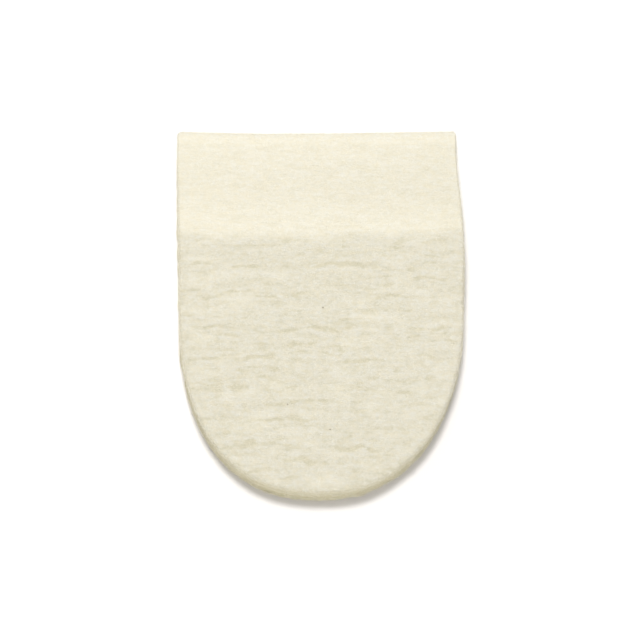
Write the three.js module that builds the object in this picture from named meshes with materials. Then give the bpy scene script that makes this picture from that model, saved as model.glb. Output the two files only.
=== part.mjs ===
// A heel pad of thick wool felt: one soft piece, D-shaped in plan, lying on its flat underside.
// The straight end is skived down to a thin edge, and the other end is round like the back of a heel.
// Millimetres, +Y towards the thin edge, +Z up, the origin under the middle of the pad's box.

import * as THREE from "three";

// Plan
const PAD_LENGTH = 77.3;
const PAD_WIDTH = 57.4;
const HEEL_CURVE_DEPTH = 38.5;      // how far in from the heel end the round outline starts
const LEFT_FULLNESS = 2.4;          // power of the heel curve: 2 is an ellipse, more is squarer
const RIGHT_FULLNESS = 2.15;
const FRONT_EDGE_WANDER = 0.5;      // how far the cut of the thin edge strays from straight

// Thickness
const PAD_THICKNESS = 6.4;
const FRONT_EDGE_THICKNESS = 1;
const RAMP_LENGTH = 25.8;           // from the thin edge to where the top is level
const FACE_SWELL = 0.07;            // height of the slow unevenness of the top
const SWELL_SPACING = 19;

// Edge, at the full thickness; it shrinks with the felt towards the thin edge
const RIM_RADIUS = 1;
const RIM_SETBACK = 0.2;            // how far the rim stands back from the foot of the wall
const WAIST_DEPTH = 0.45;           // how far the cut wall draws in above its foot

// Creases in the top
const CREASE_DEPTH = 0.16;
const CREASE_WIDTH = 1.5;
const CREASE_BOW = 0.5;             // how far the middle of a crease bows out of line

// How finely the surface is divided
const STEPS_ACROSS = 24;
const STEPS_ALONG = 72;
const RIM_STEPS = 4;
const CORNER_SHARE = 0.2;           // share of the heel curve's depth that the end rows of the top cover
const HEEL_ROWS_FADE = 0.6;         // share of the pad over which the rows straighten out

const FELT_COLOUR = 0xe9e3cf;

// How far each side stands from the middle line, as a share of half the width.
// along: place between the heel end (0) and the thin edge (1)
const SIDE_SECTIONS = [
  { along: 0.48, left: 0.976, right: 0.998 },
  { along: 0.6, left: 0.98, right: 1.008 },
  { along: 0.7, left: 0.983, right: 1.008 },
  { along: 0.8, left: 0.987, right: 0.993 },
  { along: 0.88, left: 0.988, right: 0.975 },
  { along: 1, left: 0.984, right: 0.968 },
];

// The skived slope.
// back: share of the ramp's length from the thin edge; rise: share of the rise in thickness
const RAMP_SECTIONS = [
  { back: 0, rise: 0 },
  { back: 0.12, rise: 0.17 },
  { back: 0.35, rise: 0.4 },
  { back: 0.6, rise: 0.62 },
  { back: 0.78, rise: 0.82 },
  { back: 0.89, rise: 0.95 },
  { back: 1, rise: 1 },
];

// The cut wall. rise: share of the thickness; drawnIn: share of the waist's depth
const WALL_SECTIONS = [
  { rise: 0, drawnIn: 0.65 },
  { rise: 0.055, drawnIn: 0 },
  { rise: 0.125, drawnIn: 0.15 },
  { rise: 0.2, drawnIn: 1 },
  { rise: 0.38, drawnIn: 0.8 },
  { rise: 0.62, drawnIn: 0.55 },
];

// The thin edge's line. across: share of half the width; out: share of the wander
const FRONT_EDGE_SECTIONS = [
  { across: -1, out: 0 },
  { across: -0.5, out: -0.4 },
  { across: 0, out: -0.2 },
  { across: 0.5, out: 0.4 },
  { across: 1, out: 1 },
];

// Main creases. across: share of half the width; along: share of the length from the heel end;
// reach: share of the width; depth: share of the crease depth; bow: share of the crease bow
const CREASES = [
  { across: -0.71, along: 0.69, reach: 0.16, depth: 0.8, bow: 0.5 },
  { across: -0.58, along: 0.606, reach: 0.12, depth: 1, bow: -0.6 },
  { across: 0.12, along: 0.602, reach: 0.11, depth: 0.9, bow: 0.8 },
  { across: 0.74, along: 0.571, reach: 0.1, depth: 0.7, bow: 0.4 },
  { across: 0.48, along: 0.556, reach: 0.1, depth: 0.9, bow: -0.5 },
  { across: -0.22, along: 0.522, reach: 0.1, depth: 1, bow: 0.6 },
  { across: 0.29, along: 0.48, reach: 0.1, depth: 0.8, bow: -0.8 },
  { across: -0.76, along: 0.44, reach: 0.13, depth: 0.9, bow: 0.3 },
  { across: -0.08, along: 0.428, reach: 0.16, depth: 1, bow: 1 },
  { across: 0.72, along: 0.44, reach: 0.12, depth: 0.8, bow: -0.6 },
  { across: -0.16, along: 0.393, reach: 0.1, depth: 0.7, bow: 0.5 },
  { across: -0.45, along: 0.357, reach: 0.14, depth: 1, bow: -0.7 },
  { across: 0.28, along: 0.348, reach: 0.11, depth: 0.9, bow: 0.4 },
  { across: 0.42, along: 0.3, reach: 0.1, depth: 0.7, bow: 0.7 },
  { across: -0.38, along: 0.239, reach: 0.1, depth: 0.8, bow: -0.5 },
  { across: 0.02, along: 0.24, reach: 0.16, depth: 1, bow: 0.6 },
  { across: -0.4, along: 0.189, reach: 0.12, depth: 0.9, bow: 0.5 },
  { across: -0.66, along: 0.159, reach: 0.1, depth: 0.7, bow: -0.4 },
  { across: -0.36, along: 0.125, reach: 0.13, depth: 1, bow: 0.6 },
  { across: 0.23, along: 0.118, reach: 0.12, depth: 0.9, bow: -0.6 },
  { across: -0.16, along: 0.08, reach: 0.11, depth: 0.8, bow: 0.4 },
];

// Reads a column of a table at a place between its rows, easing from row to row.
function readSections(sections, placeKey, valueKey, place) {
  const last = sections[sections.length - 1];
  if (place <= sections[0][placeKey]) {
    return sections[0][valueKey];
  }
  if (place >= last[placeKey]) {
    return last[valueKey];
  }
  const next = sections.findIndex((section) => section[placeKey] > place);
  const before = sections[next - 1];
  const after = sections[next];
  const share = (place - before[placeKey]) / (after[placeKey] - before[placeKey]);
  const slopeBefore = slopeAt(sections, placeKey, valueKey, next - 1);
  const slopeAfter = slopeAt(sections, placeKey, valueKey, next);
  const gap = after[placeKey] - before[placeKey];
  const square = share * share;
  const cube = square * share;
  return (2 * cube - 3 * square + 1) * before[valueKey] + (cube - 2 * square + share) * gap * slopeBefore
    + (3 * square - 2 * cube) * after[valueKey] + (cube - square) * gap * slopeAfter;
}

// The slope of a table's curve at one of its rows: level at both ends of the table, else that of the line
// between the row's neighbours.
function slopeAt(sections, placeKey, valueKey, index) {
  if (index === 0 || index === sections.length - 1) {
    return 0;
  }
  const before = sections[index - 1];
  const after = sections[index + 1];
  return (after[valueKey] - before[valueKey]) / (after[placeKey] - before[placeKey]);
}

// Half the width on one side ("left" or "right") where the outline is not yet rounded.
function straightHalfWidth(y, side) {
  return 0.5 * PAD_WIDTH * readSections(SIDE_SECTIONS, "along", side, y / PAD_LENGTH);
}

function fullness(side) {
  return side === "left" ? LEFT_FULLNESS : RIGHT_FULLNESS;
}

// Half the width on one side, with the round heel taken off.
function halfWidth(y, side) {
  const intoCurve = Math.max(0, 1 - y / HEEL_CURVE_DEPTH);
  const power = fullness(side);
  return straightHalfWidth(y, side) * Math.pow(1 - Math.pow(intoCurve, power), 1 / power);
}

// The outline's y at a given x, near the heel's tip.
function heelLine(x) {
  const side = x < 0 ? "left" : "right";
  const power = fullness(side);
  const outward = Math.min(1, Math.abs(x) / straightHalfWidth(0, side));
  return HEEL_CURVE_DEPTH * (1 - Math.pow(1 - Math.pow(outward, power), 1 / power));
}

// The thin edge's y at a given x.
function frontLine(x) {
  const out = readSections(FRONT_EDGE_SECTIONS, "across", "out", x / (0.5 * PAD_WIDTH));
  return PAD_LENGTH + FRONT_EDGE_WANDER * (out - 1);
}

// How far a crease dents the top at a point. It is deepest in the middle of a bowed line, and fades to its
// ends and sides.
function creaseDent(crease, x, y) {
  const halfReach = 0.5 * crease.reach * PAD_WIDTH;
  const fromMiddle = (x - crease.across * 0.5 * PAD_WIDTH) / halfReach;
  if (Math.abs(fromMiddle) >= 1) {
    return 0;
  }
  const fade = 1 - fromMiddle * fromMiddle;
  const line = crease.along * PAD_LENGTH + crease.bow * CREASE_BOW * fade;
  const offLine = (y - line) / (0.5 * CREASE_WIDTH);
  return crease.depth * CREASE_DEPTH * fade * Math.exp(-offLine * offLine);
}

// Thickness of the felt at a point: the ramp, with the slow swells and the creases of the uncut top.
function feltThickness(x, y) {
  const back = (frontLine(x) - y) / RAMP_LENGTH;
  const rise = readSections(RAMP_SECTIONS, "back", "rise", back);
  const turn = (2 * Math.PI) / SWELL_SPACING;
  const swell = 0.5 * FACE_SWELL * (Math.sin(turn * (x + 0.4 * y)) + Math.sin(turn * (y - 0.3 * x)));
  const dents = CREASES.reduce((sum, crease) => sum + creaseDent(crease, x, y), 0);
  return THREE.MathUtils.lerp(FRONT_EDGE_THICKNESS, PAD_THICKNESS, rise) + rise * (swell - dents);
}

// The plan outline, anticlockwise from the left end of the heel's tip: the tip, the right side, the thin
// edge and the left side.
function outlinePoints() {
  const corner = CORNER_SHARE * HEEL_CURVE_DEPTH;
  const tipLeft = -halfWidth(corner, "left");
  const tipRight = halfWidth(corner, "right");
  const points = [];
  for (let i = 0; i < STEPS_ACROSS; i += 1) {
    const x = THREE.MathUtils.lerp(tipLeft, tipRight, i / STEPS_ACROSS);
    points.push(new THREE.Vector2(x, heelLine(x)));
  }
  const rightFront = straightHalfWidth(PAD_LENGTH, "right");
  const leftFront = straightHalfWidth(PAD_LENGTH, "left");
  for (let j = 0; j < STEPS_ALONG; j += 1) {
    const y = THREE.MathUtils.lerp(corner, frontLine(rightFront), j / STEPS_ALONG);
    points.push(new THREE.Vector2(halfWidth(y, "right"), y));
  }
  for (let i = 0; i < STEPS_ACROSS; i += 1) {
    const x = THREE.MathUtils.lerp(rightFront, -leftFront, i / STEPS_ACROSS);
    points.push(new THREE.Vector2(x, frontLine(x)));
  }
  for (let j = 0; j < STEPS_ALONG; j += 1) {
    const y = THREE.MathUtils.lerp(frontLine(-leftFront), corner, j / STEPS_ALONG);
    points.push(new THREE.Vector2(-halfWidth(y, "left"), y));
  }
  return points;
}

// The wall's profile at the full thickness: how high each ring stands and how far it is drawn in.
function wallProfile() {
  const profile = WALL_SECTIONS.map(({ rise, drawnIn }) => ({
    height: rise * (PAD_THICKNESS - RIM_RADIUS),
    inset: drawnIn * WAIST_DEPTH,
  }));
  for (let step = 0; step <= RIM_STEPS; step += 1) {
    const angle = (0.5 * Math.PI * step) / RIM_STEPS;
    profile.push({
      height: PAD_THICKNESS - RIM_RADIUS * (1 - Math.sin(angle)),
      inset: RIM_SETBACK + RIM_RADIUS * (1 - Math.cos(angle)),
    });
  }
  return profile;
}

// One ring of the wall: the outline moved in along its normals, at a share of the felt's thickness there.
function wallRing(outline, { height, inset }) {
  return outline.map((point, i) => {
    const before = outline[(i + outline.length - 1) % outline.length];
    const after = outline[(i + 1) % outline.length];
    const along = new THREE.Vector2().subVectors(after, before).normalize();
    const thickness = feltThickness(point.x, point.y);
    const thinned = thickness / PAD_THICKNESS;
    return new THREE.Vector3(
      point.x - along.y * inset * thinned,
      point.y + along.x * inset * thinned,
      height * thinned,
    );
  });
}

// The points of the top inside its edge ring, in rows across the pad. They are a patch stretched between
// the ring's four sides: its rows bend like the heel's tip at one end and are straight from the middle on.
function topRows(edge) {
  const heelSide = (i) => edge[i];
  const rightSide = (j) => edge[STEPS_ACROSS + j];
  const frontSide = (i) => edge[2 * STEPS_ACROSS + STEPS_ALONG - i];
  const leftSide = (j) => edge[(edge.length - j) % edge.length];
  const rows = [];
  for (let j = 0; j <= STEPS_ALONG; j += 1) {
    const heelPull = Math.max(0, 1 - j / (HEEL_ROWS_FADE * STEPS_ALONG)) ** 2;
    const endPull = (i) => new THREE.Vector3().lerpVectors(frontSide(i), heelSide(i), heelPull);
    const row = [];
    for (let i = 0; i <= STEPS_ACROSS; i += 1) {
      const share = i / STEPS_ACROSS;
      const between = new THREE.Vector3().lerpVectors(leftSide(j), rightSide(j), share);
      const corners = new THREE.Vector3().lerpVectors(endPull(0), endPull(STEPS_ACROSS), share);
      const point = endPull(i).add(between).sub(corners);
      row.push(new THREE.Vector3(point.x, point.y, feltThickness(point.x, point.y)));
    }
    rows.push(row);
  }
  return rows;
}

// The closed skin of the felt: the wall's rings from the foot up, the top inside the last ring, and the
// flat underside.
function buildFeltGeometry() {
  const rings = wallProfile().map((level) => wallRing(outlinePoints(), level));
  const count = rings[0].length;
  const edge = rings[rings.length - 1];
  const rows = topRows(edge);
  const points = rings.flat();
  const faces = [];
  const addQuad = (a, b, c, d) => faces.push(a, b, c, a, c, d);

  for (let level = 0; level + 1 < rings.length; level += 1) {
    for (let i = 0; i < count; i += 1) {
      const next = (i + 1) % count;
      addQuad(level * count + i, level * count + next, (level + 1) * count + next, (level + 1) * count + i);
    }
  }

  const edgeStart = (rings.length - 1) * count;
  const insideStart = points.length;
  const topIndex = (i, j) => {
    if (j === 0) {
      return edgeStart + i;
    }
    if (i === STEPS_ACROSS) {
      return edgeStart + STEPS_ACROSS + j;
    }
    if (j === STEPS_ALONG) {
      return edgeStart + 2 * STEPS_ACROSS + STEPS_ALONG - i;
    }
    if (i === 0) {
      return edgeStart + count - j;
    }
    return insideStart + (j - 1) * (STEPS_ACROSS - 1) + (i - 1);
  };
  for (const row of rows.slice(1, STEPS_ALONG)) {
    points.push(...row.slice(1, STEPS_ACROSS));
  }
  for (let j = 0; j < STEPS_ALONG; j += 1) {
    for (let i = 0; i < STEPS_ACROSS; i += 1) {
      addQuad(topIndex(i, j), topIndex(i + 1, j), topIndex(i + 1, j + 1), topIndex(i, j + 1));
    }
  }

  const foot = rings[0].map((point) => new THREE.Vector2(point.x, point.y));
  for (const [a, b, c] of THREE.ShapeUtils.triangulateShape(foot, [])) {
    faces.push(a, c, b);
  }

  const geometry = new THREE.BufferGeometry().setFromPoints(points);
  geometry.setIndex(faces);
  geometry.computeBoundingBox();
  const box = geometry.boundingBox;
  const middle = box.getCenter(new THREE.Vector3());
  geometry.translate(-middle.x, -middle.y, -box.min.z);
  geometry.computeVertexNormals();
  return geometry;
}

const feltPad = new THREE.Mesh(
  buildFeltGeometry(),
  new THREE.MeshStandardMaterial({ color: FELT_COLOUR, roughness: 0.95, metalness: 0 }),
);
feltPad.name = "felt_pad";

const heelPad = new THREE.Group();
heelPad.add(feltPad);

export default heelPad;
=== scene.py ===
# A wool-felt heel pad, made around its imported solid: the felt's skin, its stray fibres and the specks caught
# in it, then the table it lies on, the light and the camera.

import bpy
import numpy as np
from mathutils import Matrix, Vector


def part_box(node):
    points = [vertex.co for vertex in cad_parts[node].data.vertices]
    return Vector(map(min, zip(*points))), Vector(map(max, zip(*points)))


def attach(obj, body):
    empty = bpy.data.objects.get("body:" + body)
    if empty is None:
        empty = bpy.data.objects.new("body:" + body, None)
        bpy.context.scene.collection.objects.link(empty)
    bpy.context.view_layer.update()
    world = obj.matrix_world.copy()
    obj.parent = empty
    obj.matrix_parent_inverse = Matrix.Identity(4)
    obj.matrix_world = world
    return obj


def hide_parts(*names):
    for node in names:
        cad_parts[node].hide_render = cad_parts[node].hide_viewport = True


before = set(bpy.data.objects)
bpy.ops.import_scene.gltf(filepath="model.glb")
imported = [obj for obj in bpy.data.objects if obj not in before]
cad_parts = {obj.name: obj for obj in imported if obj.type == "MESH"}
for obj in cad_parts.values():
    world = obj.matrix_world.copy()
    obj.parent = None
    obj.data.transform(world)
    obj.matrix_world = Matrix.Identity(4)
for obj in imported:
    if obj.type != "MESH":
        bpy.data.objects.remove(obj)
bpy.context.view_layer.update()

# The pad's body. The real one is die-cut from a sheet of pressed wool felt, a quarter of an inch thick, and
# its straight end is skived down to a thin edge. Here it is one closed skin: a wall carried round the D
# outline, a top stretched between the outline's sides, and a flat underside. Sizes are in millimetres.
MM = 0.001
pad_low, pad_high = (np.array(corner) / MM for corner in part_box("felt_pad"))
PAD_WIDTH, PAD_LENGTH = (pad_high - pad_low)[:2]
PAD_THICKNESS = 6.4
FRONT_EDGE_THICKNESS = 1.0
RAMP_LENGTH = 25.8
HEEL_CURVE_DEPTH = 38.5
FULLNESS = {"left": 2.4, "right": 2.15}
FRONT_EDGE_WANDER = 0.5
FACE_SWELL = 0.07
SWELL_SPACING = 19.0
RIM_RADIUS = 0.75
RIM_SETBACK = 0.2
RIM_SQUARENESS = 2.4
WAIST_DEPTH = 0.45

# Columns: place along the pad from the heel end (0) to the thin edge (1), and each side's share of half
# the width.
SIDE_SECTIONS = {
    "along": (0.48, 0.60, 0.70, 0.80, 0.88, 1.00),
    "left": (0.976, 0.980, 0.983, 0.987, 0.988, 0.984),
    "right": (0.998, 1.008, 1.008, 0.993, 0.975, 0.968),
}
# Columns: share of the ramp's length back from the thin edge, share of the rise in thickness, and how much of
# the skived colour shows. That colour is the skived felt's own paler tone, with painted light at the thin edge
# and at the crest.
RAMP_SECTIONS = {
    "back": (0.00, 0.12, 0.35, 0.60, 0.78, 0.89, 1.00),
    "rise": (0.00, 0.17, 0.40, 0.62, 0.82, 0.95, 1.00),
    "pale_and_painted_light": (1.00, 0.92, 0.70, 0.72, 0.95, 1.05, 1.05),
}
# Columns: share of the wall's height below the rim, and share of the waist's depth.
WALL_SECTIONS = {
    "rise": (0.00, 0.06, 0.17, 0.26, 0.42, 0.70, 1.00),
    "drawn_in": (2.00, 0.75, 0.00, 0.45, 0.85, 0.70, 0.444),
}
# Columns: share of half the width from the middle, and share of the wander of the thin edge.
FRONT_EDGE_SECTIONS = {
    "across": (-1.0, -0.5, 0.0, 0.5, 1.0),
    "out": (0.0, -0.4, -0.2, 0.4, 1.0),
}


def read_sections(places, values, at):
    """A curve through table rows: between rows a cubic whose end slopes are those of the line between each
    row's neighbours, level at both ends of the table."""
    places = np.array(places)
    values = np.array(values)
    slopes = np.zeros(len(places))
    slopes[1:-1] = (values[2:] - values[:-2]) / (places[2:] - places[:-2])
    at = np.clip(at, places[0], places[-1])
    row = np.clip(np.searchsorted(places, at, side="right") - 1, 0, len(places) - 2)
    gap = places[row + 1] - places[row]
    share = (at - places[row]) / gap
    square = share ** 2
    cube = share ** 3
    return ((2 * cube - 3 * square + 1) * values[row] + (cube - 2 * square + share) * gap * slopes[row]
            + (3 * square - 2 * cube) * values[row + 1] + (cube - square) * gap * slopes[row + 1])


def straight_half_width(y, side):
    """Half the width that the sides would have if they ran straight on to the heel's end."""
    return 0.5 * PAD_WIDTH * read_sections(SIDE_SECTIONS["along"], SIDE_SECTIONS[side], y / PAD_LENGTH)


def half_width(y, side):
    """Half the width, drawn in round the heel by (1 - d ** n) ** (1 / n), where d is how far into the curve y
    lies."""
    power = FULLNESS[side]
    into_curve = np.clip(1 - y / HEEL_CURVE_DEPTH, 0, 1)
    return straight_half_width(y, side) * (1 - into_curve ** power) ** (1 / power)


def heel_line(x):
    """The same curve solved for y, near the tip of the heel."""
    left = x < 0
    power = np.where(left, FULLNESS["left"], FULLNESS["right"])
    half = np.where(left, straight_half_width(0.0, "left"), straight_half_width(0.0, "right"))
    outward = np.clip(np.abs(x) / half, 0, 1)
    return HEEL_CURVE_DEPTH * (1 - (1 - outward ** power) ** (1 / power))


def front_line(x):
    """Where the thin edge lies along the pad: the length, less the wander that the table takes back."""
    out = read_sections(FRONT_EDGE_SECTIONS["across"], FRONT_EDGE_SECTIONS["out"], x / (0.5 * PAD_WIDTH))
    return PAD_LENGTH + FRONT_EDGE_WANDER * (out - 1)


def back_from_edge(x, y):
    """How far a point lies behind the thin edge, as a share of the ramp's length."""
    return (front_line(x) - y) / RAMP_LENGTH


def ramp_rise(x, y):
    """The share of the rise in thickness: 0 at the thin edge and 1 on the uncut top."""
    return read_sections(RAMP_SECTIONS["back"], RAMP_SECTIONS["rise"], back_from_edge(x, y))


def smooth_thickness(x, y):
    """The thin edge's thickness, and the share of the rise from there to the full one."""
    return FRONT_EDGE_THICKNESS + (PAD_THICKNESS - FRONT_EDGE_THICKNESS) * ramp_rise(x, y)


# The felt's relief is worked out once on a fine level grid over the pad, then read at each point of the skin.
GRID_STEP = 0.15
GRID_MARGIN = 4.0
grid_x = np.arange(-0.5 * PAD_WIDTH - GRID_MARGIN, 0.5 * PAD_WIDTH + GRID_MARGIN, GRID_STEP)
grid_y = np.arange(-GRID_MARGIN, PAD_LENGTH + GRID_MARGIN, GRID_STEP)
GRID_X, GRID_Y = np.meshgrid(grid_x, grid_y)


def grain_field(seed, shape, steps, sizes):
    """White noise blurred by a Gaussian of the given size along each side, done on its frequencies, and
    scaled to a spread of one. It joins up with itself at its borders."""
    noise = np.random.default_rng(seed).standard_normal(shape)
    spectrum = np.fft.fft2(noise)
    for side in (0, 1):
        frequency = np.fft.fftfreq(shape[side], steps[side])
        blur = np.exp(-2 * (np.pi * frequency * sizes[side]) ** 2)
        spectrum *= blur[:, None] if side == 0 else blur[None, :]
    field = np.fft.ifft2(spectrum).real
    return field / field.std()


# Columns: seed, and the size of the noise's lumps across the pad and along it.
TOP_GRAINS = {
    "crease_breaks": (21, 1.6, 1.2),
    "streaks": (22, 3.4, 0.45),
    "streaks_blurred": (22, 3.4, 1.1),
    "tufts": (23, 0.45, 0.40),
    "grain": (24, 0.20, 0.18),
    "crease_stray_across": (25, 0.9, 0.7),
    "crease_stray_along": (26, 1.1, 0.6),
    "crest_stray": (27, 1.6, 0.7),
    "streak_stray": (28, 1.5, 1.0),
}


def top_grain(name):
    """One of the noises on the grid over the pad."""
    seed, across, along = TOP_GRAINS[name]
    return grain_field(seed, GRID_X.shape, (GRID_STEP, GRID_STEP), (along, across))


JUST_INSIDE = 1.001


def read_grid(field, x, y):
    """Straight-line reading of a grid between its four nearest points. Places past its end read its last
    cell."""
    column = np.clip((x - grid_x[0]) / GRID_STEP, 0, len(grid_x) - JUST_INSIDE)
    row = np.clip((y - grid_y[0]) / GRID_STEP, 0, len(grid_y) - JUST_INSIDE)
    i = column.astype(int)
    j = row.astype(int)
    u = column - i
    v = row - j
    return ((1 - v) * ((1 - u) * field[j, i] + u * field[j, i + 1])
            + v * ((1 - u) * field[j + 1, i] + u * field[j + 1, i + 1]))


# Creases run across the uncut top. Columns: share of half the width, share of the length from the heel end,
# share of half the width that it reaches to either side, share of the crease depth, share of the crease bow.
CREASE_DEPTH = 0.075
CREASE_WIDTH = 0.8
CREASE_BOW = 0.5
CREASE_STRAY = 0.27
CREASE_PUFF = 0.35
CREASES = (
    (-0.71, 0.690, 0.23, 0.8, 0.5), (-0.21, 0.672, 0.09, 0.5, 0.3), (-0.58, 0.606, 0.17, 1.0, -0.6),
    (-0.83, 0.605, 0.10, 0.7, 0.3), (0.12, 0.602, 0.16, 0.9, 0.8), (0.74, 0.571, 0.14, 0.7, 0.4),
    (0.48, 0.556, 0.14, 0.9, -0.5), (-0.59, 0.527, 0.10, 0.8, 0.4), (-0.22, 0.522, 0.14, 1.0, 0.6),
    (-0.72, 0.521, 0.09, 0.6, 0.2), (-0.40, 0.471, 0.09, 0.7, -0.3), (-0.06, 0.479, 0.07, 0.6, 0.2),
    (0.29, 0.480, 0.14, 0.8, -0.8), (-0.76, 0.440, 0.19, 0.9, 0.3), (-0.08, 0.428, 0.23, 1.0, 1.0),
    (0.72, 0.440, 0.17, 0.8, -0.6), (-0.41, 0.392, 0.10, 0.7, 0.4), (-0.16, 0.393, 0.14, 0.7, 0.5),
    (-0.75, 0.359, 0.10, 0.7, -0.3), (-0.45, 0.357, 0.20, 1.0, -0.7), (0.28, 0.348, 0.16, 0.9, 0.4),
    (0.73, 0.359, 0.10, 0.6, 0.3), (-0.61, 0.322, 0.09, 0.6, 0.3), (-0.33, 0.322, 0.07, 0.5, -0.2),
    (0.42, 0.300, 0.14, 0.7, 0.7), (0.72, 0.300, 0.07, 0.5, 0.2), (-0.57, 0.279, 0.09, 0.6, -0.3),
    (-0.38, 0.239, 0.14, 0.8, -0.5), (0.02, 0.240, 0.23, 1.0, 0.6), (-0.12, 0.194, 0.12, 0.7, 0.3),
    (-0.40, 0.189, 0.17, 0.9, 0.5), (-0.66, 0.159, 0.14, 0.7, -0.4), (-0.56, 0.125, 0.12, 0.7, 0.3),
    (-0.36, 0.125, 0.19, 1.0, 0.6), (0.23, 0.118, 0.17, 0.9, -0.6), (-0.16, 0.080, 0.16, 0.8, 0.4),
    (0.00, 0.080, 0.09, 0.6, 0.2), (0.21, 0.083, 0.09, 0.6, -0.2),
)
# Between them lie small creases in random places. Least and most of the same columns.
SMALL_CREASES = 190
SMALL_CREASE_WIDTH = 0.7 * CREASE_WIDTH
SMALL_CREASE_RANGES = ((-0.95, 0.95), (0.03, 0.69), (0.05, 0.22), (0.15, 0.5), (-0.4, 0.4))
crease_chance = np.random.default_rng(11)
small_creases = np.column_stack(
    [crease_chance.uniform(least, most, SMALL_CREASES) for least, most in SMALL_CREASE_RANGES])


def crease_grid(rows, width):
    """Dents on the grid: each is deepest in the middle of a bowed line across the pad that strays a little,
    and falls off as a bell curve beside the line and as a parabola towards its ends. A shallower bell curve,
    twice as wide, is taken off it, so that the felt puffs up on both sides."""
    stray_x = GRID_X + 2 * CREASE_STRAY * top_grain("crease_stray_across")
    stray_y = GRID_Y + CREASE_STRAY * top_grain("crease_stray_along")
    dents = np.zeros_like(GRID_X)
    for across, along, reach, depth, bow in rows:
        from_middle = (stray_x - across * 0.5 * PAD_WIDTH) / (0.5 * reach * PAD_WIDTH)
        fade = np.clip(1 - from_middle ** 2, 0, 1)
        off_line = (stray_y - along * PAD_LENGTH - bow * CREASE_BOW * fade) / (0.5 * width)
        profile = np.exp(-off_line ** 2) - CREASE_PUFF * np.exp(-(0.5 * off_line) ** 2)
        dents += depth * fade * profile
    return dents


# The uncut top begins where the rise reaches CREST_START of the full one, along a line that strays a little.
CREST_START = 0.93
CREST_STRAY = 0.014
risen = ramp_rise(GRID_X, GRID_Y) + CREST_STRAY * top_grain("crest_stray")
uncut = np.clip((risen - CREST_START) / (1 - CREST_START), 0, 1)

# Streaks are long fibres that lie across the pad and bend a little: fine noise less the same noise blurred,
# so that no broad light and dark is left.
STREAK_STRAY = 0.35
STREAK_GAIN = 1.3
BLURRED_SHARE = 0.65
straight_streaks = STREAK_GAIN * (top_grain("streaks") - BLURRED_SHARE * top_grain("streaks_blurred"))
streaks = read_grid(straight_streaks, GRID_X, GRID_Y + STREAK_STRAY * top_grain("streak_stray"))
tufts = top_grain("tufts")
grain = top_grain("grain")
BREAKS_BY_GRAIN = 0.2
BREAKS_BY_TUFTS = 0.4
BREAKS_RANGE = (0.1, 1.9)
crease_breaks = 1 + BREAKS_BY_GRAIN * top_grain("crease_breaks") - BREAKS_BY_TUFTS * tufts
creases = crease_grid(CREASES, CREASE_WIDTH) + crease_grid(small_creases, SMALL_CREASE_WIDTH)
creases *= uncut * np.clip(crease_breaks, *BREAKS_RANGE)

# The knife leaves the slope smoother than the top: it keeps these shares of the top's roughness and streaks.
SKIVED_ROUGHNESS = 0.6
SKIVED_STREAKS = 0.4
STREAK_HEIGHT = 0.010
TUFT_HEIGHT = 0.015
GRAIN_HEIGHT = 0.009
roughness_kept = SKIVED_ROUGHNESS + (1 - SKIVED_ROUGHNESS) * uncut
streaks_kept = SKIVED_STREAKS + (1 - SKIVED_STREAKS) * uncut
mat_relief = roughness_kept * (
    STREAK_HEIGHT * streaks * streaks_kept + TUFT_HEIGHT * tufts + GRAIN_HEIGHT * grain)

# Two slow waves, slanting opposite ways across the pad, swell the uncut top.
SWELL_SLANTS = (0.4, -0.3)
turn = 2 * np.pi / SWELL_SPACING
swell = 0.5 * FACE_SWELL * (np.sin(turn * (GRID_X + SWELL_SLANTS[0] * GRID_Y))
                            + np.sin(turn * (GRID_Y + SWELL_SLANTS[1] * GRID_X)))
relief = mat_relief - CREASE_DEPTH * creases + ramp_rise(GRID_X, GRID_Y) * swell

# Painted shade and painted light, which the felt's colour follows. Above 0 it is darker: painted shade in the
# creases and in the low places between tufts and streaks. Below 0 it is paler: painted light on the felt
# puffed up beside the creases and on raised tufts. Each part of the relief counts by its own share, and the
# last millimetre of the thin edge gets painted light, as if lit through the thin felt.
PAINTED_SHADE_SHARES = {"creases": 2.4, "streaks": 0.084, "tufts": 0.132, "grain": 0.108}
EDGE_PAINTED_LIGHT = 0.6
EDGE_PAINTED_LIGHT_REACH = 0.9
painted_shade = PAINTED_SHADE_SHARES["creases"] * creases - roughness_kept * (
    PAINTED_SHADE_SHARES["streaks"] * streaks + PAINTED_SHADE_SHARES["tufts"] * tufts + PAINTED_SHADE_SHARES["grain"] * grain)
painted_shade -= EDGE_PAINTED_LIGHT * np.exp(-((front_line(GRID_X) - GRID_Y) / EDGE_PAINTED_LIGHT_REACH) ** 2)

# How much of the skived colour shows: the skived felt's own paler tone, with painted light at the thin edge
# and the crest. The share falls a little towards the right.
SKIVED_FALL = 0.3
skived_paleness_and_light = read_sections(RAMP_SECTIONS["back"], RAMP_SECTIONS["pale_and_painted_light"], back_from_edge(GRID_X, GRID_Y))
skived_and_painted_light = (1 - uncut) * (skived_paleness_and_light - SKIVED_FALL * GRID_X / PAD_WIDTH)
RELIEF_OF_THINNEST = 0.15


def felt_thickness(x, y):
    """The smooth thickness and the relief, of which a smaller share is kept where the felt is thin."""
    smooth = smooth_thickness(x, y)
    relief_share = np.clip(smooth / PAD_THICKNESS + RELIEF_OF_THINNEST, 0, 1)
    return smooth + read_grid(relief, x, y) * relief_share


# The skin's own division: about 0.2 mm between its points along the pad and 0.3 mm across it.
STEPS_ACROSS = 190
STEPS_ALONG = 340
WALL_STEPS = 16
RIM_STEPS = 7
CORNER_SHARE = 0.2
HEEL_ROWS_FADE = 0.6


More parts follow.
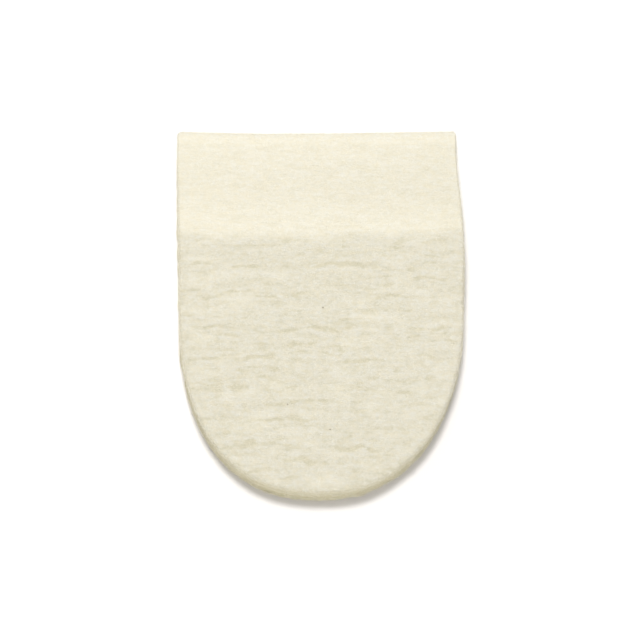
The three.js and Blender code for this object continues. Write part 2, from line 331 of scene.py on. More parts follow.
def outline_points():
    """The plan outline, anticlockwise from the left end of the heel's tip: the tip, the right side, the thin
    edge and the left side."""
    corner = CORNER_SHARE * HEEL_CURVE_DEPTH
    across = np.arange(STEPS_ACROSS) / STEPS_ACROSS
    along = np.arange(STEPS_ALONG) / STEPS_ALONG
    tip_left = half_width(corner, "left")
    tip_x = -tip_left + across * (tip_left + half_width(corner, "right"))
    right_front = straight_half_width(PAD_LENGTH, "right")
    left_front = -straight_half_width(PAD_LENGTH, "left")
    right_y = corner + along * (front_line(right_front) - corner)
    front_x = right_front + across * (left_front - right_front)
    left_y = front_line(left_front) + along * (corner - front_line(left_front))
    x = np.concatenate([tip_x, half_width(right_y, "right"), front_x, -half_width(left_y, "left")])
    y = np.concatenate([heel_line(tip_x), right_y, front_line(front_x), left_y])
    return np.column_stack([x, y])


CORNER_REACH = 1.0
CORNER_PULL = 0.25


def round_front_corners(line):
    """Draws the thin edge's two corners in: within a short reach of a corner, both its sides are pulled
    inwards by the square of how near the corner lies."""
    left_half = straight_half_width(PAD_LENGTH, "left")
    right_half = straight_half_width(PAD_LENGTH, "right")
    half = np.where(line[:, 0] < 0, left_half, right_half)
    near_side = np.clip(1 - (half - np.abs(line[:, 0])) / CORNER_REACH, 0, 1)
    near_front = np.clip(1 - (front_line(line[:, 0]) - line[:, 1]) / CORNER_REACH, 0, 1)
    pull = CORNER_PULL * CORNER_REACH * (near_side * near_front) ** 2
    return line - np.column_stack([np.sign(line[:, 0]) * pull, pull])


outline = round_front_corners(outline_points())
ring_count = len(outline)
outline_along = np.roll(outline, -1, axis=0) - np.roll(outline, 1, axis=0)
outline_along /= np.linalg.norm(outline_along, axis=1)[:, None]
outline_out = np.column_stack([outline_along[:, 1], -outline_along[:, 0]])
outline_step = np.linalg.norm(np.roll(outline, -1, axis=0) - outline, axis=1).mean()
outline_thin = smooth_thickness(outline[:, 0], outline[:, 1]) / PAD_THICKNESS

# The wall's profile at full thickness: heights as shares of the thickness, and how far each level is drawn
# in. The rim is a quarter of a superellipse.
wall_share = np.linspace(0, 1, WALL_STEPS, endpoint=False)
rim_turn = 0.5 * np.pi * np.arange(RIM_STEPS + 1) / RIM_STEPS
rim_up = np.sin(rim_turn) ** (2 / RIM_SQUARENESS)
rim_in = 1 - np.cos(rim_turn) ** (2 / RIM_SQUARENESS)
wall_height = np.concatenate([wall_share * (PAD_THICKNESS - RIM_RADIUS),
                              PAD_THICKNESS - RIM_RADIUS * (1 - rim_up)]) / PAD_THICKNESS
wall_inset = np.concatenate([
    WAIST_DEPTH * read_sections(WALL_SECTIONS["rise"], WALL_SECTIONS["drawn_in"], wall_share),
    RIM_SETBACK + RIM_RADIUS * rim_in,
])

# The cut wall is uneven: long layers of felt stand out or draw back, and the foot and the rim stray in and
# out. Columns: seed, and the size of the noise's lumps up the wall and along the outline.
WALL_GRAINS = {
    "layers": (31, 0.35, 3.5),
    "cut_lumps": (32, 0.3, 0.5),
    "foot_stray": (33, 0.0, 0.8),
    "rim_stray": (34, 0.0, 2.2),
}


def wall_grain(name):
    """Noise on the wall's levels, or the same on every level where its size up the wall is nothing."""
    seed, up, along = WALL_GRAINS[name]
    levels = len(wall_height) if up > 0 else 1
    steps = (PAD_THICKNESS / len(wall_height), outline_step)
    return grain_field(seed, (levels, ring_count), steps, (up, along))


LAYER_HEIGHT = 0.045
LUMP_HEIGHT = 0.022
LIP_HEIGHT = 0.9
LIP_SPREAD = 0.5
FOOT_STRAY = 0.08
RIM_STRAY = 0.05
RIM_STRAY_START = 0.6
RIM_STRAY_FULL = 0.9
RIM_STRAY_FADE = 0.85
THIN_EDGE_POWER = 0.6
layers = wall_grain("layers")
cut_lumps = wall_grain("cut_lumps")
foot_part = np.exp(-((wall_height * PAD_THICKNESS - LIP_HEIGHT) / LIP_SPREAD) ** 2)[:, None]
into_rim = np.clip((wall_height - RIM_STRAY_START) / (RIM_STRAY_FULL - RIM_STRAY_START), 0, 1)
onto_top = np.clip((wall_height - RIM_STRAY_FADE) / (1 - RIM_STRAY_FADE), 0, 1)
rim_part = (into_rim * np.cos(0.5 * np.pi * onto_top))[:, None]
middle_part = np.sin(np.pi * np.clip(wall_height, 0, 1))[:, None] ** 0.5
stand_out = (middle_part * (LAYER_HEIGHT * layers + LUMP_HEIGHT * cut_lumps)
             + foot_part * FOOT_STRAY * wall_grain("foot_stray")
             + rim_part * RIM_STRAY * wall_grain("rim_stray"))
stand_out[0] = 0
ring_inset = (wall_inset[:, None] - stand_out) * outline_thin ** THIN_EDGE_POWER
ring_xy = outline[None] - outline_out[None] * ring_inset[..., None]
ring_z = wall_height[:, None] * felt_thickness(ring_xy[..., 0], ring_xy[..., 1])
rings = np.concatenate([ring_xy, ring_z[..., None]], axis=2)


def top_patch(edge):
    """The top inside its edge ring, as rows across the pad: a patch stretched between the ring's four sides,
    whose rows bend like the heel's tip at one end and are straight from the middle of the pad on."""
    heel_side = edge[:STEPS_ACROSS + 1]
    right_side = edge[STEPS_ACROSS:STEPS_ACROSS + STEPS_ALONG + 1]
    front_side = edge[STEPS_ACROSS + STEPS_ALONG:2 * STEPS_ACROSS + STEPS_ALONG + 1][::-1]
    left_side = np.roll(edge, -1, axis=0)[-STEPS_ALONG - 1:][::-1]
    u = np.linspace(0, 1, STEPS_ACROSS + 1)[None, :, None]
    v = np.linspace(0, 1, STEPS_ALONG + 1)[:, None, None]
    pull = np.clip(1 - v / HEEL_ROWS_FADE, 0, 1) ** 2
    ends = pull * heel_side[None] + (1 - pull) * front_side[None]
    between = (1 - u) * left_side[:, None] + u * right_side[:, None]
    corners = (1 - u) * ends[:, :1] + u * ends[:, -1:]
    patch = ends + between - corners
    patch[..., 2] = felt_thickness(patch[..., 0], patch[..., 1])
    return patch


patch = top_patch(rings[-1])

# The underside is flat: a narrow band inside the wall's foot, and one face inside the band.
UNDERSIDE_INSET = 1.6
underside_inset = UNDERSIDE_INSET * outline_thin ** THIN_EDGE_POWER
underside_ring = np.column_stack([outline - outline_out * underside_inset[:, None], np.zeros(ring_count)])
inside = patch[1:-1, 1:-1].reshape(-1, 3)
pad_points = np.concatenate([underside_ring, rings.reshape(-1, 3), inside])

# Point numbers: the underside's ring, then the wall's rings, then the inside of the top.
level_count = len(wall_height) + 1
ring_numbers = np.arange(level_count * ring_count).reshape(level_count, ring_count)
wall_quads = np.stack([ring_numbers[:-1], np.roll(ring_numbers[:-1], -1, axis=1),
                       np.roll(ring_numbers[1:], -1, axis=1), ring_numbers[1:]], axis=-1).reshape(-1, 4)
top_numbers = np.empty((STEPS_ALONG + 1, STEPS_ACROSS + 1), dtype=int)
edge_numbers = ring_numbers[-1]
top_numbers[0] = edge_numbers[:STEPS_ACROSS + 1]
top_numbers[:, -1] = edge_numbers[STEPS_ACROSS:STEPS_ACROSS + STEPS_ALONG + 1]
top_numbers[-1] = edge_numbers[STEPS_ACROSS + STEPS_ALONG:2 * STEPS_ACROSS + STEPS_ALONG + 1][::-1]
top_numbers[:, 0] = np.roll(edge_numbers, -1)[-STEPS_ALONG - 1:][::-1]
top_numbers[1:-1, 1:-1] = level_count * ring_count + np.arange(len(inside)).reshape(STEPS_ALONG - 1, -1)
top_quads = np.stack([top_numbers[:-1, :-1], top_numbers[:-1, 1:],
                      top_numbers[1:, 1:], top_numbers[1:, :-1]], axis=-1).reshape(-1, 4)
underside_face = ring_numbers[0][::-1].tolist()

# The frame's origin is under the middle of the pad's box.
box_middle = 0.5 * (pad_low[0] + pad_high[0])
skin_middle = 0.5 * (ring_xy[..., 0].max() + ring_xy[..., 0].min())
to_frame = np.array([box_middle - skin_middle, pad_low[1], pad_low[2]])


def make_piece(name, points, faces, smooth):
    """A mesh object from points in millimetres, counted from the heel's tip on the pad's middle line."""
    mesh = bpy.data.meshes.new(name)
    mesh.from_pydata(((points + to_frame) * MM).tolist(), [], faces)
    mesh.polygons.foreach_set("use_smooth", np.full(len(mesh.polygons), smooth))
    mesh.update()
    piece = bpy.data.objects.new(name, mesh)
    bpy.context.scene.collection.objects.link(piece)
    return piece


pad_faces = wall_quads.tolist() + top_quads.tolist() + [underside_face]
felt_body = make_piece("felt_body", pad_points, pad_faces, True)
height_up_wall = wall_height[:, None] * PAD_THICKNESS
rim_share = np.clip((height_up_wall - PAD_THICKNESS + RIM_RADIUS) / RIM_RADIUS, 0, 1)

# Painted shade on the cut wall: deepest in the waist, less on the lip, deep again at the foot and least near
# the rim, with more between the wall's layers. Columns: height up the wall in millimetres, and how much
# painted shade lies there.
WALL_PAINTED_SHADE = {
    "height": (0.0, 0.9, 2.2, 4.4, 6.4),
    "painted_shade": (0.64, 0.28, 0.80, 0.48, 0.16),
}
LAYER_SHADE = 0.125
LUMP_SHADE = 0.1
MOST_SHADE = 0.5
THIN_WALL_PAINTED_LIGHT = 0.6
shade_between_layers = np.clip(-LAYER_SHADE * layers - LUMP_SHADE * cut_lumps, 0, MOST_SHADE)
thick_wall_shade = read_sections(WALL_PAINTED_SHADE["height"], WALL_PAINTED_SHADE["painted_shade"], height_up_wall) + shade_between_layers
# Where the wall is thin, along the slope, the painted shade fades out and painted light makes it paler.
wall_painted_shade = outline_thin ** 2 * thick_wall_shade - THIN_WALL_PAINTED_LIGHT * (1 - outline_thin)


def over_the_skin(on_wall, on_top):
    """A value at every point of the body: none on the underside, one field on the wall and one on the top,
    blended over the rim."""
    at_rings = read_grid(on_top, ring_xy[..., 0], ring_xy[..., 1])
    over_rim = (1 - rim_share) * on_wall + rim_share * at_rings
    at_inside = read_grid(on_top, inside[:, 0], inside[:, 1])
    return np.concatenate([np.zeros(ring_count), over_rim.ravel(), at_inside])


def add_layer(name, values):
    """Puts a value for each of the body's points where its material reads it."""
    layer = felt_body.data.attributes.new(name, "FLOAT", "POINT")
    layer.data.foreach_set("value", values.astype(np.float32))


# The body's points carry the painted shade and light, the share of the skived colour (which thin walls take as
# painted light), and the share of the cut wall's shaded colour.
add_layer("painted_shade", over_the_skin(wall_painted_shade, painted_shade))
add_layer("skived_and_painted_light", over_the_skin(np.ones_like(wall_painted_shade) * (1 - outline_thin), skived_and_painted_light))
add_layer("shaded_cut_wall", over_the_skin(np.ones_like(wall_painted_shade) * outline_thin, np.zeros_like(painted_shade)))

# The felt's finish: cream wool pressed into a dense mat. Its colour is mottled in streaks and tufts, with
# painted shade, yellower and darker, where the fibres sink into a crease, and it is dead matt with a faint
# bloom of loose fibre ends.


def feed(tree, socket, value):
    """Links an output to the socket, or sets the socket to a plain value."""
    if isinstance(value, bpy.types.NodeSocket):
        tree.links.new(value, socket)
    else:
        socket.default_value = value


def math_node(tree, operation, first, second):
    """The sum, product or difference of two values."""
    node = tree.nodes.new("ShaderNodeMath")
    node.operation = operation
    feed(tree, node.inputs[0], first)
    feed(tree, node.inputs[1], second)
    return node.outputs[0]


def map_range(tree, value, low, high, to_low, to_high):
    """Takes a value from one range to another, easing in and out."""
    node = tree.nodes.new("ShaderNodeMapRange")
    node.interpolation_type = "SMOOTHSTEP"
    feed(tree, node.inputs["Value"], value)
    for label, number in (("From Min", low), ("From Max", high), ("To Min", to_low), ("To Max", to_high)):
        node.inputs[label].default_value = number
    return node.outputs["Result"]


def mix_colours(tree, share, first, second):
    """The first colour at a share of 0, the second at 1."""
    node = tree.nodes.new("ShaderNodeMix")
    node.data_type = "RGBA"
    colours = [socket for socket in node.inputs if socket.type == "RGBA"]
    feed(tree, node.inputs[0], share)
    feed(tree, colours[0], first)
    feed(tree, colours[1], second)
    return next(socket for socket in node.outputs if socket.type == "RGBA")


def wool_noise(tree, size, detail, roughness):
    """Noise on Object coordinates, whose grains have the given size along X, Y and Z in millimetres."""
    where = tree.nodes.new("ShaderNodeTexCoord")
    mapping = tree.nodes.new("ShaderNodeMapping")
    mapping.inputs["Scale"].default_value = [1 / (side * MM) for side in size]
    noise = tree.nodes.new("ShaderNodeTexNoise")
    noise.inputs["Scale"].default_value = 1.0
    noise.inputs["Detail"].default_value = detail
    noise.inputs["Roughness"].default_value = roughness
    tree.links.new(where.outputs["Object"], mapping.inputs["Vector"])
    tree.links.new(mapping.outputs["Vector"], noise.inputs["Vector"])
    return noise.outputs["Fac"]


def new_group(name, inputs, outputs):
    """A shader group with named sockets, given as (label, socket type, value) and (label, socket type)."""
    group = bpy.data.node_groups.new(name, "ShaderNodeTree")
    for label, kind, value in inputs:
        group.interface.new_socket(name=label, in_out="INPUT", socket_type=kind).default_value = value
    for label, kind in outputs:
        group.interface.new_socket(name=label, in_out="OUTPUT", socket_type=kind)
    return group, group.nodes.new("NodeGroupInput"), group.nodes.new("NodeGroupOutput")


# Columns: size of a grain along X, Y and Z in millimetres, detail, roughness, and the range that it is spread
# over.
MOTTLE_STREAKS = ((4.0, 0.7, 0.8), 2.0, 0.5, (-0.4, 0.4))
MOTTLE_TUFTS = ((0.6, 0.5, 0.5), 2.0, 0.6, (-0.5, 0.5))
WARM_PATCHES = ((1.3, 0.8, 0.9), 4.0, 0.75, (-0.1, 0.7))
NOISE_RANGE = (0.3, 0.7)
LIGHTEST_SHARE = -0.6
DARKEST_SHARE = 1.0


def spread_noise(tree, size, detail, roughness, spread):
    """Wool noise, with the range that it mostly keeps to stretched over another."""
    return map_range(tree, wool_noise(tree, size, detail, roughness), *NOISE_RANGE, *spread)


def wool_mottle_group():
    """Mixes a light and a dark wool colour by streaks and tufts, and by painted shade: darker where the given
    share is above 0 and paler where it is below. Patches of their own then turn part of the way to a warmer
    colour."""
    group, given, result = new_group(
        "wool_mottle",
        (("Light", "NodeSocketColor", (0.8, 0.8, 0.8, 1)), ("Dark", "NodeSocketColor", (0.5, 0.5, 0.5, 1)),
         ("Warm", "NodeSocketColor", (0.8, 0.7, 0.6, 1)), ("Mottle", "NodeSocketFloat", 0.3),
         ("Depth", "NodeSocketFloat", 0.0)),
        (("Colour", "NodeSocketColor"),))
    streaks_out = spread_noise(group, *MOTTLE_STREAKS)
    tufts_out = spread_noise(group, *MOTTLE_TUFTS)
    both = math_node(group, "ADD", streaks_out, tufts_out)
    mottled = math_node(group, "MULTIPLY", both, given.outputs["Mottle"])
    share = math_node(group, "ADD", mottled, given.outputs["Depth"])
    dark_share = map_range(group, share, LIGHTEST_SHARE, DARKEST_SHARE, 0.0, 1.0)
    plain = mix_colours(group, dark_share, given.outputs["Light"], given.outputs["Dark"])
    patches = spread_noise(group, *WARM_PATCHES)
    group.links.new(mix_colours(group, patches, plain, given.outputs["Warm"]), result.inputs["Colour"])
    return group


# Columns: size of a grain along X, Y and Z in millimetres, detail, roughness.
RELIEF_TUFTS = ((0.5, 0.45, 0.4), 4.0, 0.6)
RELIEF_STRANDS = ((0.6, 0.3, 0.3), 3.0, 0.6)


def mat_relief_group():
    """Height of the matted fibres, 0 to 1: small tufts, and thin strands that lie across the pad."""
    group, given, result = new_group("mat_relief", (("Fibre share", "NodeSocketFloat", 0.5),),
                                     (("Height", "NodeSocketFloat"),))
    tufts_out = wool_noise(group, *RELIEF_TUFTS)
    strands_out = wool_noise(group, *RELIEF_STRANDS)
    share = given.outputs["Fibre share"]
    kept = math_node(group, "MULTIPLY", tufts_out, math_node(group, "SUBTRACT", 1.0, share))
    height = math_node(group, "ADD", kept, math_node(group, "MULTIPLY", strands_out, share))
    group.links.new(height, result.inputs["Height"])
    return group


wool_mottle = wool_mottle_group()
mat_relief_nodes = mat_relief_group()


def wool_attribute(tree, name):
    """One of the values that the body's points carry."""
    node = tree.nodes.new("ShaderNodeAttribute")
    node.attribute_name = name
    return node.outputs["Fac"]


# The wool where it is uncut, skived or cut through, and its loose fibres. The skived wool is the skived felt's
# own paler tone with painted light in it, the cut-through wool is darker and yellower with painted shade, and
# the loose fibres are paler with painted light. Each dark colour gives both the mottle and the painted shade.
# Columns: light, dark and warm colour, and the strength of the mottle.
WOOLS = {
    "skin": ((0.682, 0.659, 0.570, 1), (0.560, 0.526, 0.390, 1), (0.672, 0.614, 0.464, 1), 0.5),
    "skived_and_painted_light": ((0.753, 0.724, 0.622, 1), (0.660, 0.620, 0.485, 1), (0.735, 0.675, 0.515, 1), 0.55),
    "shaded_cut_wall": ((0.655, 0.627, 0.494, 1), (0.542, 0.500, 0.328, 1), (0.645, 0.582, 0.400, 1), 0.5),
    "fibre": ((0.920, 0.900, 0.810, 1), (0.820, 0.790, 0.680, 1), (0.890, 0.850, 0.720, 1), 0.3),
}


def mottled_colour(tree, wool, depth):
    """One of the wools, mottled, with painted shade laid on where its fibres lie deep and painted light where
    they stand up.
    """
    node = tree.nodes.new("ShaderNodeGroup")
    node.node_tree = wool_mottle
    for label, value in zip(("Light", "Dark", "Warm", "Mottle"), WOOLS[wool]):
        node.inputs[label].default_value = value
    feed(tree, node.inputs["Depth"], depth)
    return node.outputs["Colour"]


WOOL_FINISH = {
    "Roughness": 0.92, "Specular IOR Level": 0.2, "Sheen Weight": 0.3, "Sheen Roughness": 0.6,
    "Sheen Tint": (1.0, 0.97, 0.88, 1),
}


def matt_wool(name):
    """A new material set as dead matt wool, still without its colour."""
    material = bpy.data.materials.new(name)
    material.use_nodes = True
    shader = material.node_tree.nodes["Principled BSDF"]
    for label, value in WOOL_FINISH.items():
        shader.inputs[label].default_value = value
    return material, material.node_tree, shader


RELIEF_DISTANCE = 0.21
SKIVED_RELIEF = 0.7
pressed_wool, pressed_tree, pressed_shader = matt_wool("pressed_wool")
painted_shade_share = wool_attribute(pressed_tree, "painted_shade")
skived_light_share = wool_attribute(pressed_tree, "skived_and_painted_light")
skin_colour = mottled_colour(pressed_tree, "skin", painted_shade_share)
skived_light_colour = mottled_colour(pressed_tree, "skived_and_painted_light", painted_shade_share)
shaded_wall_colour = mottled_colour(pressed_tree, "shaded_cut_wall", painted_shade_share)
top_colour = mix_colours(pressed_tree, skived_light_share, skin_colour, skived_light_colour)
felt_colour = mix_colours(pressed_tree, wool_attribute(pressed_tree, "shaded_cut_wall"), top_colour, shaded_wall_colour)
pressed_tree.links.new(felt_colour, pressed_shader.inputs["Base Color"])
relief_node = pressed_tree.nodes.new("ShaderNodeGroup")
relief_node.node_tree = mat_relief_nodes
relief_kept = map_range(pressed_tree, skived_light_share, 0.0, 1.0, 1.0, SKIVED_RELIEF)
bump = pressed_tree.nodes.new("ShaderNodeBump")
bump.inputs["Distance"].default_value = RELIEF_DISTANCE * MM
bump.inputs["Strength"].default_value = 1.0
bump_height = math_node(pressed_tree, "MULTIPLY", relief_node.outputs["Height"], relief_kept)
pressed_tree.links.new(bump_height, bump.inputs["Height"])
pressed_tree.links.new(bump.outputs["Normal"], pressed_shader.inputs["Normal"])
felt_body.data.materials.append(pressed_wool)
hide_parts("felt_pad")
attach(felt_body, "root")

# Loose fibres: wool that the pressing and the knife left standing. Short ones lie matted over the top and the
# skived slope, and others stand out of the rim, the cut wall and the foot. Each is a thin tapered thread, in
# wool made paler than the felt: painted light that offsets the shade on its thin sides.
loose_wool, loose_tree, loose_shader = matt_wool("loose_wool")
loose_tree.links.new(mottled_colour(loose_tree, "fibre", 0.0), loose_shader.inputs["Base Color"])
THREAD_SIDES = 3
THREAD_PLACES = np.array([0.0, 0.35, 0.7, 1.0])
THREAD_TAPER = np.array([1.0, 0.95, 0.7])
STEEP = 0.8


def make_fibres(name, paths, radius):
    """Threads along paths of four points each: a three-sided section carried along the path, closed at its
    root and thinning to a point at its tip. Its sides are square to the path and level, or, where the path
    is steep, square to X."""
    count = len(paths)
    tip = THREAD_SIDES * len(THREAD_TAPER)
    last_section = tip - THREAD_SIDES
    along = np.gradient(paths, axis=1)
    along /= np.linalg.norm(along, axis=2)[..., None] + 1e-9
    helper = np.where(np.abs(along[..., 2:]) > STEEP, (1.0, 0.0, 0.0), (0.0, 0.0, 1.0))
    side = np.cross(along, helper)
    side /= np.linalg.norm(side, axis=2)[..., None]
    up = np.cross(side, along)
    turns = np.arange(THREAD_SIDES) * 2 * np.pi / THREAD_SIDES
    ring = (np.cos(turns)[None, None, :, None] * side[:, :-1, None]
            + np.sin(turns)[None, None, :, None] * up[:, :-1, None])
    sections = paths[:, :-1, None] + radius[:, None, None, None] * THREAD_TAPER[None, :, None, None] * ring
    points = np.concatenate([sections.reshape(count, tip, 3), paths[:, -1:]], axis=1)
    one = [tuple(range(THREAD_SIDES))]
    for level in range(0, last_section, THREAD_SIDES):
        for k in range(THREAD_SIDES):
            after = (k + 1) % THREAD_SIDES
            one.append((level + k, level + THREAD_SIDES + k, level + THREAD_SIDES + after))
            one.append((level + k, level + THREAD_SIDES + after, level + after))
    one += [(last_section + k, tip, last_section + (k + 1) % THREAD_SIDES) for k in range(THREAD_SIDES)]
    faces = (np.array(one)[None] + (tip + 1) * np.arange(count)[:, None, None]).reshape(-1, 3)
    piece = make_piece(name, points.reshape(-1, 3), faces.tolist(), False)
    piece.data.materials.append(loose_wool)
    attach(piece, "root")


def fibre_radius(seed, count, thinnest, thickest):
    """A random radius for each thread."""
    return np.random.default_rng(seed).uniform(thinnest, thickest, count)


# The nap on the top. Three places are drawn for each fibre, because some fall past the round heel.
NAP_FIBRES = 10000
NAP_DRAWS = 3
NAP_LENGTHS = (0.7, 2.4)
NAP_RADII = (0.008, 0.013)
NAP_TURNS = 1.0
NAP_BENDS = 0.45
NAP_LIFT = 0.012
NAP_LIFT_SHARES = (0.2, 1.0)
NAP_LEAST_HEIGHT = 0.002
NAP_FRONT_GAP = 0.4
ROOT_GAPS = {"heel": 0.3, "side": 0.5, "thin_edge": 0.25}
TIP_GAPS = {"heel": 0.5, "side": 0.6, "thin_edge": 0.2}
CUT_SHORT = 0.15


def clear_of_rim(x, y, gaps):
    """Whether places on the top keep the given distances from the heel, the sides and the thin edge."""
    return ((x < half_width(y, "right") - gaps["side"]) & (x > gaps["side"] - half_width(y, "left"))
            & (y < front_line(x) - gaps["thin_edge"]) & (y > gaps["heel"]))


def lying_fibres(seed):
    """Paths over the top: each starts at a random place, runs off mostly across the pad with a bend, and
    arches up a little between its ends. A few lift their tips. One that would cross the rim is cut short."""
    chance = np.random.default_rng(seed)
    y = chance.uniform(ROOT_GAPS["heel"], PAD_LENGTH - NAP_FRONT_GAP, NAP_DRAWS * NAP_FIBRES)
    x = chance.uniform(-0.5, 0.5, NAP_DRAWS * NAP_FIBRES) * PAD_WIDTH
    inside_rim = clear_of_rim(x, y, ROOT_GAPS)
    x = x[inside_rim][:NAP_FIBRES]
    y = y[inside_rim][:NAP_FIBRES]
    count = len(x)
    angle = chance.normal(0, NAP_TURNS, count) + np.pi * chance.integers(0, 2, count)
    length = chance.uniform(*NAP_LENGTHS, count)
    bend = chance.normal(0, NAP_BENDS, count)
    ahead = THREAD_PLACES[None]
    aside = bend[:, None] * ahead ** 2
    cos_angle = np.cos(angle)[:, None]
    sin_angle = np.sin(angle)[:, None]

    def path(length):
        """Straight on by the place along the thread, and sideways by the bend times its square."""
        return (x[:, None] + length[:, None] * (ahead * cos_angle - aside * sin_angle),
                y[:, None] + length[:, None] * (ahead * sin_angle + aside * cos_angle))

    path_x, path_y = path(length)
    clear = clear_of_rim(path_x[:, -1], path_y[:, -1], TIP_GAPS)
    path_x, path_y = path(np.where(clear, length, CUT_SHORT * length))
    arch = 4 * THREAD_PLACES * (1 - THREAD_PLACES)
    height = chance.uniform(*NAP_LIFT_SHARES, count)[:, None] * NAP_LIFT * arch[None] + NAP_LEAST_HEIGHT
    tip_up = (chance.uniform(0, 1, count) ** 4)[:, None] * 2 * NAP_LIFT * ahead ** 2
    return np.stack([path_x, path_y, felt_thickness(path_x, path_y) + height + tip_up], axis=2)


nap_paths = lying_fibres(51)
make_fibres("top_nap", nap_paths, fibre_radius(52, len(nap_paths), *NAP_RADII))


def wall_place(station, level):
    """Straight-line reading of the wall's rings at a fractional place round the outline and level up the
    wall."""
    i = np.floor(station).astype(int)
    k = np.clip(np.floor(level).astype(int), 0, len(rings) - 2)
    u = (station - i)[..., None]
    v = (np.clip(level, 0, len(rings) - 1) - k)[..., None]
    i %= ring_count
    after = (i + 1) % ring_count
    return (1 - v) * ((1 - u) * rings[k, i] + u * rings[k, after]) + v * (
        (1 - u) * rings[k + 1, i] + u * rings[k + 1, after])


ROOT_DEPTH = 0.03
LOWEST_FIBRE = 0.025
STRAY_ALONG = 0.8
CURL_ALONG = 0.5
CURL_UP = 0.3
CURL_BACK = 0.4
SHORTEST_SHARE = 0.4


def standing_fibres(chance, station, level, reach, outward, upward):
    """Paths that leave the wall at given places: each heads out, up and along the wall by random shares, and
    a curl is added by the square of the place along it. None goes below the underside."""
    count = len(station)
    root = wall_place(station, level)
    number = station.astype(int) % ring_count
    out = np.column_stack([outline_out[number], np.zeros(count)])
    along = np.column_stack([outline_along[number], np.zeros(count)])
    up = np.array([0.0, 0.0, 1.0])
    heading = (out * chance.uniform(*outward, count)[:, None]
               + along * chance.normal(0, STRAY_ALONG, count)[:, None]
               + up * chance.uniform(*upward, count)[:, None])
    heading /= np.linalg.norm(heading, axis=1)[:, None]
    curl = (along * chance.normal(0, CURL_ALONG, count)[:, None]
            + up * chance.normal(0, CURL_UP, count)[:, None]
            - out * chance.uniform(0, CURL_BACK, count)[:, None])
    length = chance.uniform(*reach, count) * chance.uniform(SHORTEST_SHARE, 1, count)
    t = THREAD_PLACES[None, :, None]
    paths = (root[:, None] - ROOT_DEPTH * out[:, None]
             + length[:, None, None] * (t * heading[:, None] + t ** 2 * curl[:, None]))
    paths[..., 2] = np.maximum(paths[..., 2], LOWEST_FIBRE)
    return paths


# Fuzz all round the wall. Columns: piece, seed, number of fibres, the levels up the wall between which they
# stand, and least and most length, share outwards, share upwards and radius.
FUZZ = (
    ("rim_fuzz", 61, 5000, (WALL_STEPS - 2, len(rings) - 1), (0.3, 1.1), (0.1, 1.0), (-0.1, 0.7),
     (0.010, 0.017)),
    ("foot_fuzz", 71, 5000, (1.0, 4.5), (0.3, 1.0), (0.4, 1.2), (-0.4, 0.6), (0.010, 0.018)),
    ("wall_fuzz", 81, 7000, (3, WALL_STEPS + 2), (0.4, 1.5), (0.02, 0.35), (-0.5, 0.5), (0.010, 0.018)),
)
for piece_name, seed, count, levels, reach, outward, upward, radii in FUZZ:
    fuzz_chance = np.random.default_rng(seed)
    fuzz_station = fuzz_chance.uniform(0, ring_count, count)
    fuzz_level = fuzz_chance.uniform(*levels, count)
    fuzz_paths = standing_fibres(fuzz_chance, fuzz_station, fuzz_level, reach, outward, upward)
    make_fibres(piece_name, fuzz_paths, fibre_radius(seed + 1, count, *radii))

# Small tufts of wool pulled out of the heel's cut face, mostly along its lip.
# Columns: place across the heel in millimetres, level up the wall, number of fibres.
TUFTS = (
    (-15.2, 2.4, 70), (-10.6, 2.4, 110), (-8.0, 2.2, 40), (-5.2, 2.2, 80), (2.6, 9.0, 60), (3.4, 9.5, 30),
    (8.4, 2.4, 50), (13.5, 2.6, 60), (-17.5, 2.6, 40),
)
TUFT_SPREAD = 0.35
TUFT_LEVELS = 0.5
TUFT_REACH = (0.3, 0.8)
TUFT_OUTWARD = (0.4, 1.2)
TUFT_UPWARD = (-0.3, 0.8)
TUFT_RADII = (0.016, 0.026)
tuft_chance = np.random.default_rng(91)
tuft_rows = np.repeat(np.array(TUFTS), [fibres for across, level, fibres in TUFTS], axis=0)
tuft_x = tuft_rows[:, 0] + tuft_chance.normal(0, TUFT_SPREAD, len(tuft_rows))
tuft_station = np.interp(tuft_x, outline[:STEPS_ACROSS, 0], np.arange(STEPS_ACROSS))
tuft_level = tuft_rows[:, 1] + tuft_chance.normal(0, TUFT_LEVELS, len(tuft_rows))
tuft_paths = standing_fibres(tuft_chance, tuft_station, tuft_level, TUFT_REACH, TUFT_OUTWARD, TUFT_UPWARD)
make_fibres("heel_tufts", tuft_paths, fibre_radius(92, len(tuft_paths), *TUFT_RADII))

# Specks: grey-brown bits of burr and seed that the wool kept through washing. They are sunk between the
# fibres of the top. Sizes and places are in millimetres and the turn in radians.
SPECKS = (
    {"x": 0.5, "y": 38.0, "long": 0.34, "wide": 0.24, "turn": 0.6},
    {"x": -6.6, "y": 18.0, "long": 0.26, "wide": 0.18, "turn": 1.9},
    {"x": 1.7, "y": 12.9, "long": 0.32, "wide": 0.2, "turn": 0.2},
)
SPECK_SIDES = 8
SPECK_RINGS = 4
SPECK_BEND = 0.25
SPECK_HEIGHT = 0.01
BURR_DARK = (0.16, 0.13, 0.09, 1)
BURR_LIGHT = (0.34, 0.29, 0.22, 1)
BURR_GRAIN = (0.08, 0.08, 0.08)


